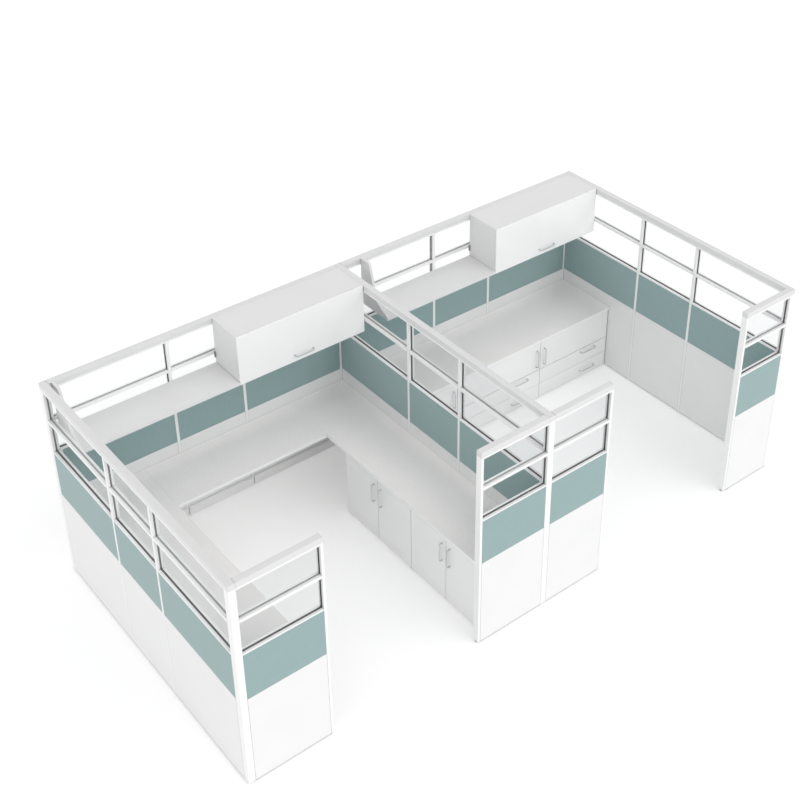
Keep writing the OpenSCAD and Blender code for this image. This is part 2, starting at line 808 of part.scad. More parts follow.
module overhead_handle(i) {
    color("#a9abad") on_floor() overhead_frame(i)
        translate([(overhead_w - overhead_end_gap) / 2, 0, overhead_handle_h]) level_handle();
}

module open_shelves() {
    color("#f1f1ef") on_floor() for (i = [0, 1])
        block([shelf_x[i] + shelf_end_t + joint_line, overhead_x[i] - joint_line],
            [overhead_y, inner_y], [shelf_z, shelf_z + shelf_t]);
}

// End panel of a shelf: a narrow upright that flares out to the shelf's full depth.
module shelf_end_section() {
    h = overhead_h;
    polygon(concat([[0, 0]], [for (s = shelf_end_shares) [-s[1] * overhead_d, s[0] * h]],
        [[0, h]]));
}

module shelf_end_panels() {
    color("#f1f1ef") on_floor() for (x = shelf_x)
        translate([x, inner_y, shelf_z]) rotate([90, 0, 90]) linear_extrude(shelf_end_t)
            shelf_end_section();
}

module hanging_brackets() {
    color("#2b2a2a") on_floor() for (x = overhead_x)
        block([x - hanger_w - joint_line, x - joint_line], [inner_y - hanger_w, inner_y],
            [shelf_z + hanger_rise, shelf_z + hanger_rise + hanger_h]);
}

corner_posts();
back_wall_frame();
side_wall_frame(side_walls[0]);  // left_wall_frame
side_wall_frame(side_walls[1]);  // middle_wall_frame
side_wall_frame(side_walls[2]);  // right_wall_frame
return_frames();
wall_caps();
back_glass();
side_glass();
glazing_gaskets();
fabric_tiles_back();
fabric_tiles_side();
laminate_tiles_back();
laminate_tiles_side();
raceway_covers();
levelling_feet();
left_worktop();
right_worktop();
worktop_edge_bands();
worktop_brackets();
support_panel();
cupboard_cases();
unit_cases();
overhead_cases();
pivot_plates();
drawer_runners();
open_shelves();
shelf_end_panels();
hanging_brackets();
cupboard_door(0);  // cupboard_door_1
cupboard_door(1);  // cupboard_door_2
cupboard_door(2);  // cupboard_door_3
cupboard_door(3);  // cupboard_door_4
cupboard_handle(0);  // cupboard_handle_1
cupboard_handle(1);  // cupboard_handle_2
cupboard_handle(2);  // cupboard_handle_3
cupboard_handle(3);  // cupboard_handle_4
unit_door(0);  // unit_door_1
unit_door(1);  // unit_door_2
unit_door(2);  // unit_door_3
unit_handle(0);  // unit_handle_1
unit_handle(1);  // unit_handle_2
unit_handle(2);  // unit_handle_3
drawer(0, 1);  // drawer_1_upper
drawer(0, 0);  // drawer_1_lower
drawer(1, 1);  // drawer_2_upper
drawer(1, 0);  // drawer_2_lower
drawer(2, 1);  // drawer_3_upper
drawer(2, 0);  // drawer_3_lower
drawer_handle(0, 1);  // drawer_handle_1_upper
drawer_handle(0, 0);  // drawer_handle_1_lower
drawer_handle(1, 1);  // drawer_handle_2_upper
drawer_handle(1, 0);  // drawer_handle_2_lower
drawer_handle(2, 1);  // drawer_handle_3_upper
drawer_handle(2, 0);  // drawer_handle_3_lower
overhead_front(0);  // overhead_front_left
overhead_front(1);  // overhead_front_right
overhead_handle(0);  // overhead_handle_left
overhead_handle(1);  // overhead_handle_right
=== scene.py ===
"""Cubicle workstation for two people, dressed in its finishes and lit in a white studio.

The back wall runs along X and the side walls along Y, +Z is up, and every length is in metres
unless its name ends in _mm.
"""

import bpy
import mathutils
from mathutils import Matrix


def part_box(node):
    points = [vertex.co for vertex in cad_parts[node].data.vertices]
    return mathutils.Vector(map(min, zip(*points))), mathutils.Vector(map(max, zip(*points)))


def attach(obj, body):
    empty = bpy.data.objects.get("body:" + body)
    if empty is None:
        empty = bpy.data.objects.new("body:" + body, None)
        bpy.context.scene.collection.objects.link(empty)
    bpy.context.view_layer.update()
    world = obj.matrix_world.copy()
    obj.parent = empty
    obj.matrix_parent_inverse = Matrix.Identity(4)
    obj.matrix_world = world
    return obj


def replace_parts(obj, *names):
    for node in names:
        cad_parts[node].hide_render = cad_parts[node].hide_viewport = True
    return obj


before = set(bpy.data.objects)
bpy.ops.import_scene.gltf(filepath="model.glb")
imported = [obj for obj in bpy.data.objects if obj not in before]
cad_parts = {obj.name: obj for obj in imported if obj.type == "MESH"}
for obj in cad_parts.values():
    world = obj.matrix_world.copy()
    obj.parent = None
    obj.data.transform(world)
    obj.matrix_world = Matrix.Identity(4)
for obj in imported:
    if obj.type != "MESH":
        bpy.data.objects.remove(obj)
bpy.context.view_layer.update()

import logging
import math
from dataclasses import dataclass
from enum import Enum

import bmesh
import bpy
import numpy as np

Tree = bpy.types.NodeTree
Socket = bpy.types.NodeSocket
Vector = tuple[float, float, float]
Span = tuple[float, float]

LOG = logging.getLogger("workstation")
MM = 0.001
ROOT = "workstation"
WHITE = (1.0, 1.0, 1.0, 1.0)
# Painted shade in seams and inner corners: its tone, how near another surface has to be, the openness
# where it is full and where it ends, and the rays that measure the openness.
SEAM_SHADE_TONE = "#8E8F8F"
SEAM_SHADE_REACH = 0.016
SEAM_SHADE_OPENNESS = (0.25, 0.75)
SEAM_SHADE_SAMPLES = 8
# Most noise lies between these two values.
NOISE_SPREAD = (0.3, 0.7)
# Gloss drifts in patches of this share of a finish's own, with this many finer layers.
GLOSS_PATCH_SHARE = 0.6
GLOSS_DETAIL = 4.0
# Sockets of a colour mix: its share, its two colours and its result.
MIX_SHARE, MIX_BASE, MIX_TONE, MIX_RESULT = 0, 6, 7, 2
# Sockets of a mix of two values: its share, the values and its result.
MEAN_SHARE, MEAN_FIRST, MEAN_SECOND, MEAN_RESULT = 0, 2, 3, 0
# Directions that lie along no axis of the furniture. A ring of points starts square to one of them.
TURNED_HINT = (0.3, 0.5, 0.81)
BEAD_HINT = (0.31, 0.47, 0.83)
ROUND_SIDES = 28
TUBE_SIDES = 24
BEAD_SIDES = 10
DOME_STEPS = 4
# Points nearer than this are one point.
SAME_POINT = 1e-6
CAD_WELD_MM = 0.01
# Edges that turn by more than this, in degrees, are rounded.
SHARP_EDGE = 50


def linear(hex_code: str) -> tuple[float, float, float, float]:
    """Turns a colour as seen on a screen into the linear one that a shader takes.

    Args:
        hex_code: The colour as "#RRGGBB" in sRGB.

    Returns:
        Red, green, blue and alpha, linear, each 0 to 1.
    """
    srgb = np.array([int(hex_code[i : i + 2], 16) for i in (1, 3, 5)]) / 255
    value = np.where(srgb <= 0.04045, srgb / 12.92, ((srgb + 0.055) / 1.055) ** 2.4)
    return (*value.tolist(), 1.0)


def add_node(
    tree: Tree, kind: str, settings: dict | None = None, inputs: dict | None = None
) -> bpy.types.Node:
    """Adds one node with its settings, and sets or links its inputs.

    Args:
        tree: The node tree that gets the node.
        kind: The node's type name.
        settings: Attributes of the node and their values.
        inputs: Input sockets, by name or number, each with a value or with the socket that feeds it.

    Returns:
        The new node.
    """
    node = tree.nodes.new(kind)
    for name, value in (settings or {}).items():
        setattr(node, name, value)
    for socket, value in (inputs or {}).items():
        if isinstance(value, Socket):
            tree.links.new(value, node.inputs[socket])
        else:
            node.inputs[socket].default_value = value
    return node


def maths(tree: Tree, operation: str, *values: Socket | float) -> Socket:
    """Adds one maths node.

    Args:
        tree: The node tree.
        operation: Name of the operation.
        values: What it takes, in order.

    Returns:
        Its result.
    """
    return add_node(
        tree, "ShaderNodeMath", settings={"operation": operation}, inputs=dict(enumerate(values))
    ).outputs["Value"]


def ranged(tree: Tree, value: Socket, source: Span, target: Span) -> Socket:
    """Carries a value from one range to another, and holds it at the ends.

    Args:
        tree: The node tree.
        value: The value.
        source: Two values that it passes.
        target: What they become.

    Returns:
        The value in the second range.
    """
    limits = {"From Min": source[0], "From Max": source[1], "To Min": target[0], "To Max": target[1]}
    return add_node(tree, "ShaderNodeMapRange", inputs={"Value": value, **limits}).outputs["Result"]


def tinted(tree: Tree, share: Socket, base: Socket, tone: str) -> Socket:
    """Mixes a tone into a colour.

    Args:
        tree: The node tree.
        share: The tone's share, 0 to 1.
        base: The colour.
        tone: The tone as "#RRGGBB" in sRGB.

    Returns:
        The mixed colour.
    """
    inputs = {MIX_SHARE: share, MIX_BASE: base, MIX_TONE: linear(tone)}
    mix = add_node(tree, "ShaderNodeMix", settings={"data_type": "RGBA"}, inputs=inputs)
    return mix.outputs[MIX_RESULT]


def drawn_noise(tree: Tree, place: Socket, scale: Vector, detail: float) -> Socket:
    """Adds noise that is drawn out along an axis.

    Args:
        tree: The node tree.
        place: The coordinates.
        scale: Patches to a metre along each axis.
        detail: How many finer layers lie on it.

    Returns:
        The noise, from 0 to 1.
    """
    drawn = add_node(tree, "ShaderNodeMapping", inputs={"Vector": place, "Scale": scale})
    inputs = {"Vector": drawn.outputs["Vector"], "Scale": 1.0, "Detail": detail}
    return add_node(tree, "ShaderNodeTexNoise", inputs=inputs).outputs["Fac"]


# Finishes


@dataclass(frozen=True)
class Finish:
    """A surface with soft patches of a second tone and a fine grain.

    The patches and the grain are noise in Object coordinates, each at its real size.
    """

    name: str
    tone: str
    second_tone: str
    roughness: Span = (0.4, 0.5)
    patch_mm: float = 180.0
    grain_mm: float = 4.0
    grain_depth_mm: float = 0.02
    ior: float = 1.5
    metallic: float = 0.0
    # Share of painted shade: grey darkening in seams and inner corners, where shade falls.
    seam_shade: float = 0.0

    def material(self) -> bpy.types.Material:
        """Makes this finish's material on its first use.

        Returns:
            The material.
        """
        known = bpy.data.materials.get(self.name)
        if known is not None:
            return known
        material = bpy.data.materials.new(self.name)
        material.use_nodes = True
        material.node_tree.nodes.clear()
        self.dress(material.node_tree)
        return material

    def dress(self, tree: Tree) -> None:
        """Builds the whole shader.

        Args:
            tree: The material's empty node tree.
        """
        shader = self.shader(tree)
        add_node(tree, "ShaderNodeOutputMaterial", inputs={"Surface": shader.outputs["BSDF"]})

    def shader(self, tree: Tree) -> bpy.types.Node:
        """Adds the main shader with its colour, roughness and grain.

        Args:
            tree: The material's node tree.

        Returns:
            The Principled node.
        """
        place = self.place(tree)
        return add_node(
            tree,
            "ShaderNodeBsdfPrincipled",
            inputs={
                "Base Color": self.seam_shaded(tree, self.colour(tree, place)),
                "Roughness": self.sheen_map(tree, place),
                "Normal": self.relief(tree, place),
                "IOR": self.ior,
                "Metallic": self.metallic,
            },
        )

    def seam_shaded(self, tree: Tree, clean: Socket) -> Socket:
        """Mixes a grey painted shade into the colour where a point sits in a seam or an inner corner.

        Its share is this finish's share of painted shade times how much of the point's surroundings,
        within the set reach, is filled by other surfaces.

        Args:
            tree: The material's node tree.
            clean: The colour without the painted shade.

        Returns:
            The colour with the painted shade.
        """
        if self.seam_shade == 0:
            return clean
        openness = add_node(
            tree,
            "ShaderNodeAmbientOcclusion",
            settings={"samples": SEAM_SHADE_SAMPLES},
            inputs={"Distance": SEAM_SHADE_REACH},
        ).outputs["AO"]
        share = ranged(tree, openness, SEAM_SHADE_OPENNESS, (self.seam_shade, 0.0))
        return tinted(tree, share, clean, SEAM_SHADE_TONE)

    def place(self, tree: Tree) -> Socket:
        """Returns the coordinates that the pattern reads."""
        return add_node(tree, "ShaderNodeTexCoord").outputs["Object"]

    def noise(self, tree: Tree, place: Socket, size_mm: float, detail: float = 2.0) -> Socket:
        """Adds noise whose patches have a given size.

        Args:
            tree: The material's node tree.
            place: The coordinates.
            size_mm: Size of a patch.
            detail: How many finer layers lie on it.

        Returns:
            The noise, from 0 to 1.
        """
        return add_node(
            tree,
            "ShaderNodeTexNoise",
            inputs={"Vector": place, "Scale": 1 / (size_mm * MM), "Detail": detail},
        ).outputs["Fac"]

    def colour(self, tree: Tree, place: Socket) -> Socket:
        """Returns the colour: the two tones, mixed by the patches."""
        return self.blend(tree, self.noise(tree, place, self.patch_mm), self.tone, self.second_tone)

    def blend(self, tree: Tree, share: Socket, first: str, second: str) -> Socket:
        """Mixes two tones by a share that is stretched to run from 0 to 1.

        Args:
            tree: The material's node tree.
            share: Noise, mostly within NOISE_SPREAD.
            first: Tone at the low end.
            second: Tone at the high end.

        Returns:
            The mixed colour.
        """
        ramp = add_node(tree, "ShaderNodeValToRGB", inputs={"Fac": share})
        low, high = ramp.color_ramp.elements
        low.position, high.position = NOISE_SPREAD
        low.color, high.color = linear(first), linear(second)
        return ramp.outputs["Color"]

    def sheen_map(self, tree: Tree, place: Socket) -> Socket:
        """Returns the roughness, which drifts between its two values like a handled surface's."""
        drift = self.noise(tree, place, self.patch_mm * GLOSS_PATCH_SHARE, GLOSS_DETAIL)
        return ranged(tree, drift, NOISE_SPREAD, self.roughness)

    def relief(self, tree: Tree, place: Socket) -> Socket:
        """Returns the normal, tilted by the grain."""
        return add_node(
            tree,
            "ShaderNodeBump",
            inputs={
                "Strength": 1.0,
                "Distance": self.grain_depth_mm * MM,
                "Height": self.noise(tree, place, self.grain_mm),
            },
        ).outputs["Normal"]


@dataclass(frozen=True)
class ScuffedFinish(Finish):
    """A finish that shoes and mops have dulled towards the floor."""

    scuff_tone: str = "#EAEAE9"
    scuff_top: float = 0.12
    scuff_share: float = 0.5
    streaks: Vector = (9.0, 9.0, 40.0)
    streak_detail: float = 5.0

    def colour(self, tree: Tree, place: Socket) -> Socket:
        """Mixes a ragged scuffed band at the floor into the tones.

        The band's share is how far a point lies under scuff_top, times streaky noise.

        Args:
            tree: The material's node tree.
            place: The coordinates.

        Returns:
            The mixed colour.
        """
        clean = super().colour(tree, place)
        height = add_node(tree, "ShaderNodeSeparateXYZ", inputs={"Vector": place}).outputs["Z"]
        low = ranged(tree, height, (0.0, self.scuff_top), (self.scuff_share, 0.0))
        marks = drawn_noise(tree, place, self.streaks, self.streak_detail)
        return tinted(tree, maths(tree, "MULTIPLY", low, marks), clean, self.scuff_tone)


@dataclass(frozen=True)
class SpeckledLaminate(Finish):
    """A laminate printed with fine flecks, pressed on a satin plate."""

    fleck_tone: str = "#B9BBBA"
    fleck_mm: float = 7.0
    fleck_share: float = 0.22
    fleck_detail: float = 3.0
    fleck_edge: Span = (0.56, 0.68)

    def colour(self, tree: Tree, place: Socket) -> Socket:
        """Mixes flecks into the tones where fine noise passes fleck_edge.

        Args:
            tree: The material's node tree.
            place: The coordinates.

        Returns:
            The mixed colour.
        """
        ground = super().colour(tree, place)
        spots = self.noise(tree, place, self.fleck_mm, self.fleck_detail)
        flecks = ranged(tree, spots, self.fleck_edge, (0.0, self.fleck_share))
        return tinted(tree, flecks, ground, self.fleck_tone)


@dataclass(frozen=True)
class WovenFabric(Finish):
    """A plain weave of slubby yarn, stretched over an upright tile.

    The yarns cross at u and v, where u is x + y, which runs along a tile on either kind of wall,
    and v is z. A yarn's height is the sine of u times the sine of v.
    """

    yarn_mm: float = 5.0
    slub_mm: Span = (90.0, 3.5)
    slub_detail: float = 2.0
    slub_balance: float = 0.5
    weave_strength: float = 0.6
    fuzz: float = 0.35
    fuzz_roughness: float = 0.5

    def place(self, tree: Tree) -> Socket:
        """Works out the cloth's own coordinates.

        Args:
            tree: The material's node tree.

        Returns:
            u, v and 0.
        """
        parts = add_node(tree, "ShaderNodeSeparateXYZ", inputs={"Vector": super().place(tree)})
        along = maths(tree, "ADD", parts.outputs["X"], parts.outputs["Y"])
        return add_node(
            tree, "ShaderNodeCombineXYZ", inputs={"X": along, "Y": parts.outputs["Z"]}
        ).outputs["Vector"]

    def slubs(self, tree: Tree, place: Socket, upright: bool) -> Socket:
        """Adds noise drawn out along one set of yarns.

        Args:
            tree: The material's node tree.
            place: The cloth's coordinates.
            upright: True for the yarns that run up.

        Returns:
            The noise, from 0 to 1.
        """
        long, thin = (1 / (size * MM) for size in self.slub_mm)
        scale = (thin, long, 1.0) if upright else (long, thin, 1.0)
        return drawn_noise(tree, place, scale, self.slub_detail)

    def colour(self, tree: Tree, place: Socket) -> Socket:
        """Returns the yarns' colour, the mean of the two sets of slubs on the two tones."""
        both = add_node(
            tree,
            "ShaderNodeMix",
            inputs={
                MEAN_SHARE: self.slub_balance,
                MEAN_FIRST: self.slubs(tree, place, True),
                MEAN_SECOND: self.slubs(tree, place, False),
            },
        ).outputs[MEAN_RESULT]
        return self.blend(tree, both, self.tone, self.second_tone)

    def relief(self, tree: Tree, place: Socket) -> Socket:
        """Tilts the normal by the crossing yarns.

        Args:
            tree: The material's node tree.
            place: The cloth's coordinates.

        Returns:
            The tilted normal.
        """
        parts = add_node(tree, "ShaderNodeSeparateXYZ", inputs={"Vector": place})
        turns = 2 * math.pi / (self.yarn_mm * MM)
        waves = [
            maths(tree, "SINE", maths(tree, "MULTIPLY", parts.outputs[axis], turns)) for axis in "XY"
        ]
        height = maths(tree, "MULTIPLY", *waves)
        return add_node(
            tree,
            "ShaderNodeBump",
            inputs={
                "Strength": self.weave_strength,
                "Distance": self.grain_depth_mm * MM,
                "Height": height,
            },
        ).outputs["Normal"]

    def shader(self, tree: Tree) -> bpy.types.Node:
        """Adds the main shader, with the soft rim that loose fibres give.

        Args:
            tree: The material's node tree.

        Returns:
            The Principled node.
        """
        shader = super().shader(tree)
        shader.inputs["Sheen Weight"].default_value = self.fuzz
        shader.inputs["Sheen Roughness"].default_value = self.fuzz_roughness
        return shader


@dataclass(frozen=True)
class FloatGlass(Finish):
    """Glass with faint smears, which lets lamps through: clear, or grey with painted shade in some
    walls.

    It is greyed by one tone in the front returns, where Y is less than return_line, and by a darker
    one in the middle wall, where X lies within middle_half of 0. Both greys are painted shade, which
    darkens what is seen through those panes.
    """

    shade_tone: str = "#F8FAFA"
    # Tones of painted shade, greyer than the glass, for the returns and the middle wall.
    painted_return_shade: str = "#F5F6F6"
    painted_middle_shade: str = "#EEEFEF"
    return_line: float = -1.4
    middle_half: float = 0.03

    def colour(self, tree: Tree, place: Socket) -> Socket:
        """Puts the painted shade, two grey tones, in the returns' panes and the middle wall's.

        Args:
            tree: The material's node tree.
            place: The coordinates.

        Returns:
            The mixed colour.
        """
        tone = super().colour(tree, place)
        parts = add_node(tree, "ShaderNodeSeparateXYZ", inputs={"Vector": place}).outputs
        forward = maths(tree, "LESS_THAN", parts["Y"], self.return_line)
        middle = maths(tree, "COMPARE", parts["X"], 0.0, self.middle_half)
        for share, grey in ((forward, self.painted_return_shade), (middle, self.painted_middle_shade)):
            tone = tinted(tree, share, tone, grey)
        return tone

    def dress(self, tree: Tree) -> None:
        """Builds the glass, with a clear shader for rays from lamps.

        Args:
            tree: The material's empty node tree.
        """
        shader = self.shader(tree)
        shader.inputs["Transmission Weight"].default_value = 1.0
        clear = add_node(
            tree, "ShaderNodeBsdfTransparent", inputs={"Color": linear(self.shade_tone)}
        ).outputs["BSDF"]
        shadow = add_node(tree, "ShaderNodeLightPath").outputs["Is Shadow Ray"]
        both = add_node(
            tree, "ShaderNodeMixShader", inputs={0: shadow, 1: shader.outputs["BSDF"], 2: clear}
        ).outputs["Shader"]
        add_node(tree, "ShaderNodeOutputMaterial", inputs={"Surface": both})


@dataclass(frozen=True)
class BrushedMetal(Finish):
    """Metal with fine lines from a belt, which run along the piece's own UV map."""

    line_mm: Span = (40.0, 0.6)

    def place(self, tree: Tree) -> Socket:
        """Draws the piece's UV, which is in metres, out along the piece.

        Args:
            tree: The material's node tree.

        Returns:
            The coordinates, on which grain becomes lines.
        """
        flat = add_node(tree, "ShaderNodeTexCoord").outputs["UV"]
        long, thin = (self.grain_mm / size for size in self.line_mm)
        return add_node(
            tree, "ShaderNodeMapping", inputs={"Vector": flat, "Scale": (long, thin, 1.0)}
        ).outputs["Vector"]


# Powder-coated aluminium posts and rails: white, satin, with the faint orange peel of the powder.
# The peel's real dimples are 1 to 2 mm and would not show, so they are drawn at 5 mm.
POWDER_COAT = Finish(
    "powder_coated_aluminium_white", "#F6F6F6", "#F4F4F4", (0.34, 0.38), 260, 5, 0.03, seam_shade=0.7
)
# The caps have the same coat with a painted shade: their tone is greyer, for the dimmer light on
# their tops. They are handled more, so their gloss wanders more.
CAP_SHADED_COAT = Finish("powder_coated_cap_shaded", "#E0E0E0", "#DEDEDE", (0.34, 0.4), 140, 5, 0.03, seam_shade=0.7)
# Clear float glass, 6 mm. The studio is white all round, so its mirror is drawn weaker than real
# glass's, which would veil what stands behind it.
GLASS = FloatGlass("float_glass_clear", "#FAFBFB", "#F9FAFA", (0.0, 0.012), 400, 120, 0.0005, 1.03)
# EPDM glazing gasket: matt black rubber that has greyed a little.
GASKET = Finish("epdm_gasket_black", "#343535", "#3C3D3D", (0.6, 0.75), 60, 2, 0.05)
# Dark grey rubber in the seams beside the posts and under the tiles, as painted shadow: beads that
# draw the shadow lines of the seams and of the foot.
SHADOW_BEAD_RUBBER = Finish("epdm_shadow_bead_grey", "#545656", "#4E5050", (0.6, 0.75), 60, 2, 0.05)
# Light grey rubber, beside the rail between the panes.
PALE_GASKET = Finish("epdm_gasket_pale", "#BDBEBE", "#B4B6B6", (0.6, 0.75), 60, 2, 0.05)
# Plain-woven polyester panel fabric. Its yarns lie 1.2 mm apart, drawn at 5 mm so that they show.
FABRIC = WovenFabric(
    "woven_panel_fabric_teal", "#8CA6A6", "#97B0B0", (0.85, 0.95), 120, 5, 0.3, 1.45
)
# Melamine-faced board of the wall tiles: matt white, scuffed by shoes at the foot.
TILE_BOARD = ScuffedFinish(
    "melamine_tile_white", "#EFEFEF", "#EDEDED", (0.46, 0.5), 300, 3, 0.02, seam_shade=0.7
)
# High-pressure laminate of the worktops: pale, with fine grey flecks and a satin face.
WORKTOP = SpeckledLaminate("laminate_worktop_grey", "#FAF7F6", "#F8F5F4", (0.18, 0.21), 350, 3, 0.01)
# ABS edge band, glued on hot and trimmed: white, with less gloss than the worktop's face.
EDGE_BAND = Finish("abs_edge_band_white", "#F6F6F6", "#F4F4F4", (0.3, 0.34), 150, 3, 0.02, seam_shade=0.6)
# Melamine-faced chipboard of the cases: white with a fine pearl grain from the press plate.
CASE_BOARD = ScuffedFinish(
    "melamine_case_white", "#F3F3F3", "#F1F1F1", (0.48, 0.53), 260, 3, 0.03, seam_shade=0.8
)
# Lacquered fibreboard of the doors and drawers: the brightest white, with a gloss that mirrors the
# handles softly.
FRONT_BOARD = ScuffedFinish(
    "lacquered_front_white", "#F8F8F8", "#F6F6F6", (0.17, 0.21), 320, 6, 0.01, seam_shade=0.8
)
# Overhead cabinets and shelves are the cases' board with a painted shade: a greyer tone, for the
# dimmer light on them.
OVERHEAD_SHADED_BOARD = Finish(
    "melamine_overhead_shaded", "#E5E5E5", "#E3E3E3", (0.44, 0.48), 300, 3, 0.02, seam_shade=0.6
)
# Extruded PVC cover of the cable raceway: white, satin, scuffed by shoes.
RACEWAY = ScuffedFinish(
    "extruded_raceway_white", "#F6F6F6", "#F3F3F3", (0.36, 0.42), 240, 4, 0.02, seam_shade=0.3
)
# Moulded nylon glides: dark grey, matt, with the mould's spark-eroded grain.
NYLON = Finish("moulded_nylon_grey", "#58595A", "#626364", (0.5, 0.65), 20, 1.2, 0.06)
# Powder-coated steel brackets, light grey.
BRACKET_COAT = Finish("powder_coated_steel_grey", "#B4B7B9", "#ABAEB0", (0.38, 0.48), 80, 4, 0.05)
# Powder-coated steel, mid grey, on the hanging brackets.
HANGER_COAT = Finish("powder_coated_steel_mid_grey", "#8A8C8D", "#929495", (0.4, 0.55), 40, 3, 0.05)
# Zinc-plated steel: a bluish grey spangle, on runners and pivot plates.
ZINC = Finish("zinc_plated_steel", "#B9BDC1", "#A6ABB0", (0.28, 0.42), 14, 3, 0.02, 1.5, 1.0)
# Satin nickel on the bar handles: brushed along the bar, then plated.
NICKEL = BrushedMetal(
    "satin_nickel_brushed", "#D2D3D4", "#C4C5C6", (0.26, 0.36), 60, 1.0, 0.01, 1.5, 1.0
)


# Surfaces


@dataclass
class Surface:
    """A grid of points: rows along its first parameter, columns round its second.

    Attributes:
        points: Rows x columns x 3 array.
        spans: The surface's length along its rows and round its columns, for its UV map in metres.
    """

    points: np.ndarray
    spans: Span

    def faces(self, start: int) -> tuple[np.ndarray, np.ndarray]:
        """Joins the grid's points into quads, with the last column joined to the first.

        Args:
            start: Number of the surface's first point in the whole mesh.

        Returns:
            The quads' corners, and each corner's place on the UV map.
        """
        rows, columns = self.points.shape[:2]
        row, column = np.meshgrid(np.arange(rows - 1), np.arange(columns), indexing="ij")
        row, column = row.ravel(), column.ravel()
        rows_of = np.stack([row, row, row + 1, row + 1], 1)
        columns_of = np.stack([column, column + 1, column + 1, column], 1)
        corners = start + rows_of * columns + columns_of % columns
        flat = np.stack(
            [rows_of / (rows - 1) * self.spans[0], columns_of / columns * self.spans[1]], 2
        )
        return corners, flat


def unit(vector: Vector | np.ndarray) -> np.ndarray:
    """Returns a vector scaled to length 1."""
    vector = np.asarray(vector, float)
    return vector / np.linalg.norm(vector)


def turned(
    profile: np.ndarray, centre: np.ndarray, axis: Vector, sides: int = ROUND_SIDES
) -> Surface:
    """Turns a profile round an axis.

    A point is centre + height times the axis + radius times the direction at the angle.

    Args:
        profile: Points as radius and height, from one pole to the other.
        centre: Where height is 0.
        axis: Direction of height.
        sides: Columns round the axis.

    Returns:
        The turned surface.
    """
    up = unit(axis)
    across = unit(np.cross(up, TURNED_HINT))
    third = np.cross(up, across)
    angle = np.linspace(0, 2 * np.pi, sides, endpoint=False)
    ring = np.cos(angle)[:, None] * across + np.sin(angle)[:, None] * third
    points = (
        np.asarray(centre, float)
        + profile[:, 1, None, None] * up
        + profile[:, 0, None, None] * ring[None]
    )
    length = float(np.sum(np.linalg.norm(np.diff(profile, axis=0), axis=1)))
    return Surface(points, (length, 2 * np.pi * float(profile[:, 0].max())))


def swept(
    path: np.ndarray, side: np.ndarray, radius: np.ndarray, sides: int = TUBE_SIDES, width: float = 1.0
) -> Surface:
    """Carries an ellipse along a path that lies in one plane.

    A point is the path's point + radius times (cosine of the angle times the direction square to the
    path within the plane + width times the sine of the angle times the plane's normal).

    Args:
        path: Points of the path.
        side: Normal of the plane that the path lies in.
        radius: Radius at each point of the path, 0 at a closed end.
        sides: Columns round the path.
        width: The ellipse's axis across the plane, in radii.

    Returns:
        The swept surface.
    """
    ahead = np.gradient(path, axis=0)
    ahead /= np.linalg.norm(ahead, axis=1, keepdims=True)
    normal = np.cross(side, ahead)
    angle = np.linspace(0, 2 * np.pi, sides, endpoint=False)
    ring = (
        np.cos(angle)[None, :, None] * normal[:, None]
        + width * np.sin(angle)[None, :, None] * side[None, None]
    )
    length = float(np.sum(np.linalg.norm(np.diff(path, axis=0), axis=1)))
    return Surface(
        path[:, None] + radius[:, None, None] * ring, (length, 2 * np.pi * float(radius.max()))
    )


def bead(start: np.ndarray, end: np.ndarray, radius: float, sides: int = BEAD_SIDES) -> Surface:
    """Carries a circle straight from one point to another, and closes it with domed ends.

    Args:
        start: One end.
        end: The other end.
        radius: Radius of the bead.
        sides: Columns round it.

    Returns:
        The bead's surface.
    """
    way = unit(end - start)
    side = unit(np.cross(way, BEAD_HINT))
    turn = np.linspace(0, np.pi / 2, DOME_STEPS)
    depth = radius * (1 - np.cos(turn))
    length = float(np.linalg.norm(end - start))
    places = np.concatenate([depth, length - depth[::-1]])
    widths = np.concatenate([np.sin(turn), np.sin(turn[::-1])]) * radius
    return swept(start + places[:, None] * way, side, widths, sides)


def piece(name: str, surfaces: list[Surface], finish: Finish, body: str) -> bpy.types.Object:
    """Makes one piece out of closed surfaces, with its UV map, and lets it ride on a body.

    Args:
        name: The piece's name.
        surfaces: Its closed surfaces.
        finish: What it is finished in.
        body: The body that it moves with.

    Returns:
        The new object.
    """
    starts = np.cumsum([0] + [s.points.shape[0] * s.points.shape[1] for s in surfaces])
    grids = [s.faces(int(start)) for s, start in zip(surfaces, starts)]
    points = np.concatenate([s.points.reshape(-1, 3) for s in surfaces])
    corners = np.concatenate([corner for corner, _ in grids])
    flat = np.concatenate([place.reshape(-1, 2) for _, place in grids])
    mesh = bpy.data.meshes.new(name)
    mesh.from_pydata(points.tolist(), [], corners.tolist())
    mesh.uv_layers.new(name="lay").data.foreach_set("uv", flat.ravel())
    work = bmesh.new()
    work.from_mesh(mesh)
    bmesh.ops.remove_doubles(work, verts=work.verts, dist=SAME_POINT)
    bmesh.ops.recalc_face_normals(work, faces=work.faces)
    work.to_mesh(mesh)
    work.free()
    mesh.polygons.foreach_set("use_smooth", np.ones(len(mesh.polygons), bool))
    thing = bpy.data.objects.new(name, mesh)
    bpy.context.scene.collection.objects.link(thing)
    thing.data.materials.append(finish.material())
    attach(thing, body)
    LOG.info("%s: %d faces on %s", name, len(mesh.polygons), body)
    return thing


def dress_node(node: str, finish: Finish) -> None:
    """Gives a CAD node its finish.

    Args:
        node: The node's name.
        finish: What it is finished in.
    """
    thing = bpy.data.objects[node]
    if not thing.data.materials:
        thing.data.materials.append(finish.material())
    for lot in thing.material_slots:
        lot.material = finish.material()
    LOG.info("%s: %s", node, finish.name)


